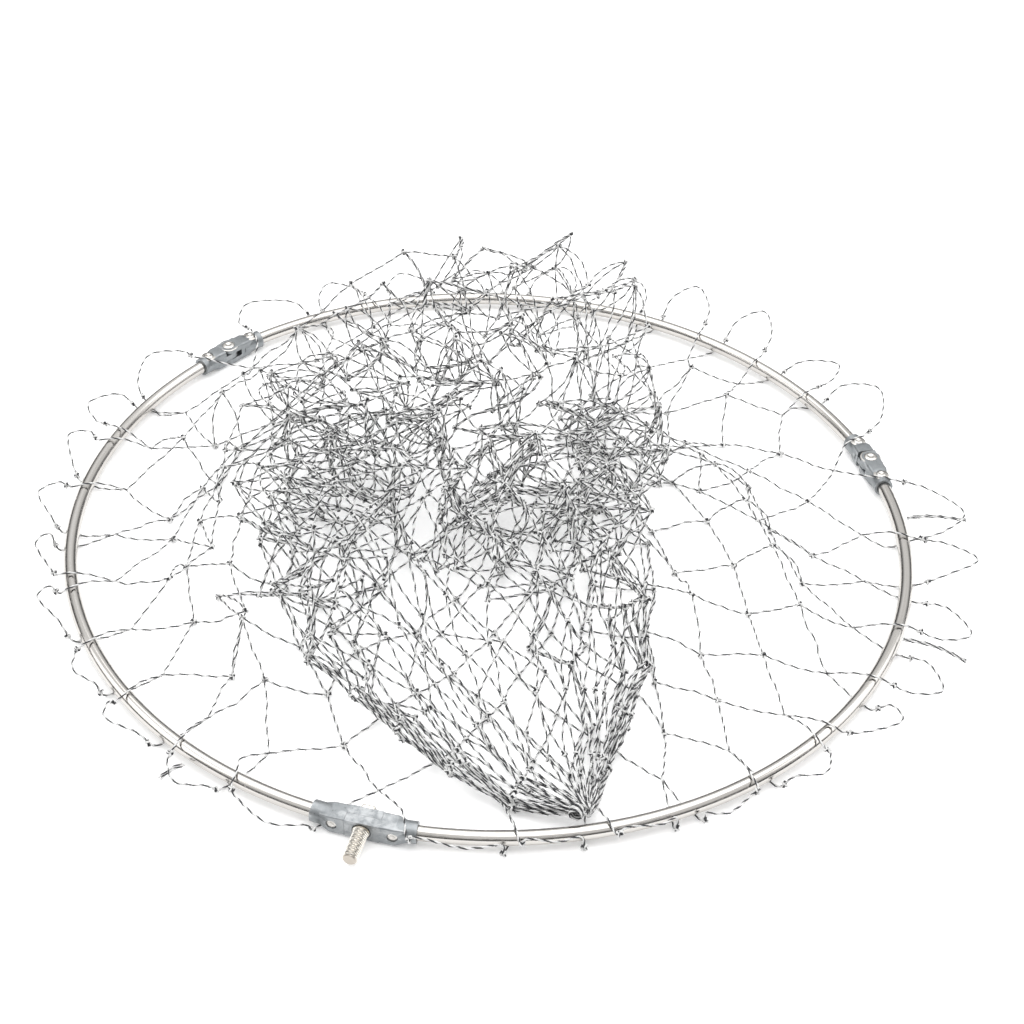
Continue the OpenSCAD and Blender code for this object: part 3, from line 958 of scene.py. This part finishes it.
def relaxed_net():
    """Knots and bar middles, relaxed to the netting's real lengths, then which knots and which
    middle each bar has"""
    knots, bars = laid_knots(), bar_pairs()
    count = len(knots)
    shaken = knots[bars].mean(1) + rng.normal(size=(len(bars), 3)) * [2.5, 2.5, 1.5]
    x = np.concatenate([knots, shaken])
    middle = count + np.arange(len(bars))
    halves = np.concatenate([np.stack([bars[:, 0], middle], 1), np.stack([middle, bars[:, 1]], 1)])
    goes_on = bars[:, 1] < count - MESHES
    next_bar = 2 * bars[:, 1] + np.arange(len(bars)) % 2
    through = np.stack([middle[goes_on], middle[next_bar[goes_on]]], 1)
    row_of = bars[:, 0] // MESHES
    open_net = np.clip(np.abs(row_of - 9.5) / 5.0 - 0.45, 0, 1)
    shortest = BAR * (0.94 + 0.04 * open_net)
    straightest = BAR * 0.72
    held = np.zeros(len(x), bool)
    held[:MESHES] = True
    tied = np.arange(count - MESHES, count)
    ring = np.arange(MESHES) / MESHES * 2 * np.pi
    bunch = np.stack([TIE_R * np.cos(ring), TIE_R * np.sin(ring), 1.2 * np.sin(2 * ring)], -1)
    x[tied] = TIE + bunch
    held[tied] = True
    aim = x.copy()
    free = np.where(held, 0.0, 1.0)
    inner = ease((200 - np.linalg.norm(x[:, :2], axis=1)) / 40)
    x = x + rng.normal(size=x.shape) * [6, 6, 5] * (free * inner)[:, None]

    def fit(x, pairs, length, only_short):
        """Moves pairs of points towards their length, or only those that are closer than it"""
        a, b = pairs[:, 0], pairs[:, 1]
        d = x[b] - x[a]
        n = np.linalg.norm(d, axis=1) + 1e-9
        error = (n - length) / n
        if only_short:
            error = np.minimum(error, 0) * 0.8
        move = d * (error / (free[a] + free[b] + 1e-9))[:, None]
        total, hits = np.zeros_like(x), np.zeros(len(x))
        for end, sign in ((a, 1), (b, -1)):
            np.add.at(total, end, sign * move * free[end][:, None])
            np.add.at(hits, end, 1)
        return x + total / np.maximum(hits, 1)[:, None] * 1.6

    def spread_out(x):
        """Netting that lies too thick in one place slides off towards thinner places"""
        at = np.clip((x[:, :2] / CROWD_CELL + CELLS // 2).astype(int), 1, CELLS - 2)
        crowd = np.zeros((CELLS, CELLS))
        np.add.at(crowd, (at[:, 0], at[:, 1]), 1)
        for _ in range(2):
            crowd[1:-1, :] = (crowd[:-2, :] + crowd[1:-1, :] + crowd[2:, :]) / 3
            crowd[:, 1:-1] = (crowd[:, :-2] + crowd[:, 1:-1] + crowd[:, 2:]) / 3
        slope = np.stack(np.gradient(crowd), -1)[at[:, 0], at[:, 1]]
        push = np.clip(slope * CROWD_PUSH, -CROWD_MOST, CROWD_MOST)
        x[:, :2] -= push * (free * loose)[:, None]
        return x

    def off_tube(x):
        """Netting that would pass through the hoop's tube is pushed out to its surface"""
        r = np.linalg.norm(x[:, :2], axis=1)
        off, z = r - R, x[:, 2]
        near = np.hypot(off, z)
        hit = (near < TUBE_CLEAR) & ~held
        push = TUBE_CLEAR / np.maximum(near, 1e-6)
        x[:, :2] *= np.where(hit, (R + off * push) / r, 1.0)[:, None]
        x[:, 2] = np.where(hit, z * push, x[:, 2])
        return x

    row = np.concatenate([np.arange(count) // MESHES, row_of + 0.5])
    loose = ease((row - 6) / 3) * ease((20 - row) / 4)
    for step in range(RELAX_ROUNDS):
        pull = 0.07 * (1 - step / RELAX_ROUNDS) ** 1.5 + 0.008
        x = x + (aim - x) * (pull * free)[:, None]
        x[:, 2] -= 0.18 * free
        x = spread_out(x)
        for _ in range(4):
            x = fit(x, halves, BAR / 2, False)
            x = fit(x, bars, shortest, True)
        x = fit(x, through, straightest, True)
        edge = np.interp(x[:, 1], *RIGHT_EDGE)
        x[:, 0] = np.where((loose > 0.5) & ~held, np.minimum(x[:, 0], edge), x[:, 0])
        x[:, 2] = np.where(held, x[:, 2], np.maximum(x[:, 2], ON_FLOOR))
        x = off_tube(x)
    flat = 0.45 + 0.25 * (1 - ease((x[middle, 2] - 2) / 14))
    x[middle] += (x[bars].mean(1) - x[middle]) * flat[:, None]
    return x, bars, middle


def twine_mesh(lines):
    """Two-ply twine along each line of points. Its faces follow the yarns' twist"""
    column = np.arange(TWINE_SIDES)
    turn = column * 2 * np.pi / TWINE_SIDES
    lobes = TWINE_R * (0.85 + 0.20 * np.cos(2 * turn))
    points, faces, uvs, base = [], [], [], 0
    for line in lines:
        p = np.asarray(line, float)
        n = len(p)
        way = np.gradient(p, axis=0)
        way /= np.linalg.norm(way, axis=1)[:, None] + 1e-12
        side = np.zeros_like(way)
        across = np.eye(3)[np.argmin(np.abs(way[0]))]
        for i in range(n):
            across = across - way[i] * (across @ way[i])
            across /= np.linalg.norm(across)
            side[i] = across
        up = np.cross(way, side)
        far = lengths_along(p)
        angle = turn + (2 * np.pi * far / PLY_PITCH + base * 0.37)[:, None]
        skin = side[:, None] * (lobes * np.cos(angle))[..., None]
        skin += up[:, None] * (lobes * np.sin(angle))[..., None]
        points.append((p[:, None] + skin).reshape(-1, 3))
        i, k = np.meshgrid(np.arange(n - 1), column, indexing="ij")
        a, b = base + i * TWINE_SIDES + k, base + i * TWINE_SIDES + (k + 1) % TWINE_SIDES
        faces.append(np.stack([a, b, b + TWINE_SIDES, a + TWINE_SIDES], -1).reshape(-1, 4))
        u = np.stack([k, k + 1, k + 1, k], -1) / TWINE_SIDES
        v = far[np.stack([i, i, i + 1, i + 1], -1)] / PLY_PITCH
        uvs.append(np.stack([u, v], -1).reshape(-1, 4, 2))
        last = base + (n - 1) * TWINE_SIDES + column
        for cap in (base + column[::-1], last):
            faces.append(np.array([cap[[0, 1, 2, 3]], cap[[0, 3, 4, 5]]]))
            uvs.append(np.full((2, 4, 2), 0.5))
        base += n * TWINE_SIDES
    return np.concatenate(points), np.concatenate(faces), np.concatenate(uvs)


def tied_knot():
    """Points, faces and UVs of one small tight knot, a closed trefoil of few faces round its centre"""
    stations, sides = 12, 5
    t = (np.arange(stations) * 2 * np.pi / stations)[:, None]
    line = np.concatenate([
        np.sin(t) + 1.4 * np.sin(2 * t), np.cos(t) - 1.4 * np.cos(2 * t), -1.0 * np.sin(3 * t),
    ], 1) * KNOT_R / 2.4
    way = np.roll(line, -1, 0) - np.roll(line, 1, 0)
    way /= np.linalg.norm(way, axis=1)[:, None]
    side = line - way * (line * way).sum(1)[:, None]
    side /= np.linalg.norm(side, axis=1)[:, None]
    up = np.cross(way, side)
    turn = np.arange(sides) * 2 * np.pi / sides
    ring = side[:, None] * np.cos(turn)[:, None] + up[:, None] * np.sin(turn)[:, None]
    points = (line[:, None] + ring * TWINE_R).reshape(-1, 3)
    i, k = np.meshgrid(np.arange(stations), np.arange(sides), indexing="ij")
    j, m = (i + 1) % stations, (k + 1) % sides
    faces = np.stack([i * sides + k, i * sides + m, j * sides + m, j * sides + k], -1).reshape(-1, 4)
    v = np.stack([i, i, i + 1, i + 1], -1) / 4
    u = np.stack([k, k + 1, k + 1, k], -1) / sides + v
    return points, faces, np.stack([u, v], -1).reshape(-1, 4, 2)


def net_piece(name, shape, owner, replaced=()):
    """One piece of the net from points in millimetres from the hoop's centre, faces and UVs"""
    points, faces, uvs = shape
    points = points / 1000 + [0, HOOP_Y, 0]
    mesh = bpy.data.meshes.new(name)
    mesh.vertices.add(len(points))
    mesh.vertices.foreach_set("co", points.ravel())
    mesh.loops.add(len(faces) * 4)
    mesh.loops.foreach_set("vertex_index", faces.ravel().astype(np.int32))
    mesh.polygons.add(len(faces))
    mesh.polygons.foreach_set("loop_start", np.arange(len(faces), dtype=np.int32) * 4)
    mesh.polygons.foreach_set("loop_total", np.full(len(faces), 4, np.int32))
    mesh.uv_layers.new(name="yarn")
    mesh.uv_layers["yarn"].data.foreach_set("uv", uvs.reshape(-1, 2).ravel())
    mesh.update(calc_edges=True)
    mesh.validate()
    mesh.shade_smooth()
    mesh.materials.append(NET_TWINE)
    o = bpy.data.objects.new(name, mesh)
    bpy.context.scene.collection.objects.link(o)
    if isinstance(owner, str):
        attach(o, owner)
    else:
        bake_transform(o)
    if replaced:
        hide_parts(*replaced)


def knot_shape(places):
    """All the knots of one piece: the same knot, turned along the netting at each place"""
    points, faces, uvs = tied_knot()
    turned = []
    for centre, way in places:
        x = way / (np.linalg.norm(way) + 1e-9)
        z = np.cross(x, [0.1, 0.2, 1.0])
        z /= np.linalg.norm(z) + 1e-9
        spin = rng.uniform(0, 2 * np.pi)
        y = np.cross(z, x) * math.cos(spin) + z * math.sin(spin)
        turned.append(centre + points @ np.stack([x, y, np.cross(x, y)]))
    more = np.arange(len(places))[:, None, None] * len(points)
    return np.concatenate(turned), (faces + more).reshape(-1, 4), np.tile(uvs, (len(places), 1, 1))


def bar_line(a, m, b):
    """Slightly wavy twine from one knot to the next through the bar's middle"""
    t = np.linspace(0, 1, BAR_SAMPLES)[:, None]
    control = 2 * m - (a + b) / 2
    line = (1 - t) ** 2 * a + 2 * t * (1 - t) * control + t**2 * b
    wave = rng.normal(size=(2, 3)) * 0.35
    sway = np.sin(2 * np.pi * t) * wave[0] + np.sin(3.3 * np.pi * t) * wave[1]
    return line + np.sin(np.pi * t) * sway


knots, bars, middle = relaxed_net()


def sector_of(bar):
    """Body that one bar of the netting goes with: the outer rows at each side bend to their arc"""
    row, j = divmod(bar[0], MESHES)
    angle = knot_angle(row, j) % 360
    if LEFT_HINGE < angle < FRONT:
        return "left_arc" if row < LEFT_ROWS else "rear_arc"
    if angle > FRONT or angle < RIGHT_HINGE:
        return "right_arc" if row < RIGHT_ROWS else "rear_arc"
    return "rear_arc"


# Each body's bars as lines of points, and its knots as a place and a way to point
strands = {"rear_arc": [], "left_arc": [], "right_arc": []}
tied = {"rear_arc": [], "left_arc": [], "right_arc": []}
last_knot = -1
for bar, m in zip(bars, middle):
    body = sector_of(bar)
    strands[body].append(bar_line(knots[bar[0]], knots[m], knots[bar[1]]))
    if bar[0] >= MESHES and bar[0] != last_knot:
        tied[body].append((knots[bar[0]], knots[bar[1]] - knots[bar[0]]))
    last_knot = bar[0]


def hoop_point(angle, out, z=0.0):
    """Place at a hoop angle, so far outside the tube's middle line"""
    t = math.radians(angle)
    return np.array([(R + out) * math.cos(t), (R + out) * math.sin(t), z])


def bend_span(hinge):
    """Place where a side's netting goes wholly with the rear arc, and where wholly with its own
    arc, in metres. The line between them is square to the chord from the hinge to the front"""
    middle_point = (hoop_point(FRONT, 0) + hoop_point(hinge, 0)) / 2
    out = middle_point / np.linalg.norm(middle_point)
    inner, outer = middle_point - out * BEND_DEPTH, middle_point + out * 4
    return [(*(p[:2] / 1000 + [0, HOOP_Y]), 0.0) for p in (inner, outer)]


for body, name, owner in (
    ("rear_arc", "bag", "rear_arc"),
    ("left_arc", "left", ("rear_arc", "left_arc", *bend_span(LEFT_HINGE))),
    ("right_arc", "right", ("rear_arc", "right_arc", *bend_span(RIGHT_HINGE))),
):
    for n, first in enumerate(range(0, len(strands[body]), STRANDS_A_PIECE)):
        some = strands[body][first:first + STRANDS_A_PIECE]
        replaced = ("net_bag",) if body == "rear_arc" and n == 0 else ()
        net_piece(f"{name}_netting_{n + 1}", twine_mesh(some), owner, replaced)
    net_piece(name + "_knots", knot_shape(tied[body]), owner)

# ---- lacing loops round the tube

LOOP_OUT = [  # how far each loop hangs outside the tube's middle line, from the right hinge round
    38, 36, 38, 40, 35, 34, 33, 33, 31, 30,
    32, 26, 24, 23, 20, 21, 18, 20, 22, 21,
    15, 14, 11, 14, 24, 30, 36, 39, 40, 40,
]


def lacing_loop(i):
    """One loop: from an inner knot over the tube, out, and back under the tube to the next knot"""
    before, after = knots[(i - 1) % MESHES], knots[i % MESHES]
    half = (float(lacing_angle(i + 0.5)) - float(lacing_angle(i - 0.5))) % 360 / 2
    out = LOOP_OUT[i] + rng.uniform(-2, 2)
    lean = rng.uniform(-0.35, 0.35) * half
    over = 1 if rng.uniform() < 0.75 else -1
    lift = rng.uniform(3, 14)
    path = [before]
    for share, shift, away, height in (
        (-0.86, 0, -10, over * 4.5), (-0.74, 0, 0, over * 5.4), (-0.66, 0, 8, over * 4.0),
        (-0.55, 0.5, out * 0.62, lift * 0.8), (0, 1, out, lift), (0.55, 0.5, out * 0.62, lift * 0.6),
        (0.66, 0, 8, -over * 4.0), (0.74, 0, 0, -over * 5.4), (0.86, 0, -10, -over * 4.5),
    ):
        path.append(hoop_point(LOOP_AT[i] + half * share + lean * shift, away, height))
    path.append(after)
    line = curve(path, np.linspace(0, 1, LOOP_SAMPLES))
    line[:, 2] = np.maximum(line[:, 2], NET_FLOOR)
    return line


def twine_end(angle, from_out, to_out, height, drift):
    """Two strands side by side that leave the tube outwards and end in cut ends"""
    ends = []
    for beside in (-0.75, 0.75):
        u = np.linspace(0, 1, END_SAMPLES)
        out = from_out + (to_out - from_out) * u
        wander = 1.2 * np.sin(4.5 * u + drift) * u + beside * (1 + 0.25 * np.sin(7 * u + beside))
        rise = height + (2.2 * np.sin(np.pi * u)) - height * 0.35 * u
        ends.append(np.array([
            hoop_point(angle + math.degrees(w / (R + o)), o, h) for o, w, h in zip(out, wander, rise)
        ]))
    return ends


spare_ends = {
    "rear_arc": [],
    "left_arc": twine_end(246.0, 7.0, 22.0, -3.0, 0.4),
    "right_arc": twine_end(351.0, 5.0, 41.0, 4.5, 0.0) + twine_end(16.5, 5.0, 41.0, 3.0, 1.1),
}
for n, (body, node) in enumerate((
    ("rear_arc", "rear_loops"), ("left_arc", "left_loops"), ("right_arc", "right_loops"),
)):
    loops = [lacing_loop(n * LOOPS_AN_ARC + i) for i in range(LOOPS_AN_ARC)]
    net_piece(body + "_lacing", twine_mesh(loops + spare_ends[body]), body, (node,))
    hitches = LOOP_SAMPLES // 3, LOOP_SAMPLES * 2 // 3
    legs = [(loop[k], loop[k + 1] - loop[k]) for loop in loops for k in hitches]
    net_piece(body + "_lacing_knots", knot_shape(legs), body)

WRAPS, WRAP_R, WRAP_RISE = 5, 3.3, 0.186
wrap = np.linspace(0, 2 * np.pi * WRAPS, 120)
coil = np.stack([WRAP_R * np.cos(wrap) - 5, WRAP_RISE * wrap - 4, WRAP_R * np.sin(wrap)], -1)
net_piece("bag_end_whipping", twine_mesh([TIE + coil]), "rear_arc", ("bag_end_tie",))

# ---- stage and finish

bpy.ops.mesh.primitive_plane_add(size=6, location=(0, HOOP_Y, TABLE_Z))
table = bpy.context.object
table.name = "white_table"
table.data.materials.append(table_white())
settle(table)

studio_camera()
soft_light("soft_box_above", (0.0, 0.5, 1.9), 2.4, 2.4, 30)
soft_light("soft_box_left", (-1.7, -0.2, 1.1), 1.4, 1.6, 10)
soft_light("soft_box_right", (1.6, 0.9, 0.9), 1.2, 1.4, 7)

studio_room()
bpy.context.scene.view_settings.view_transform = "Standard"
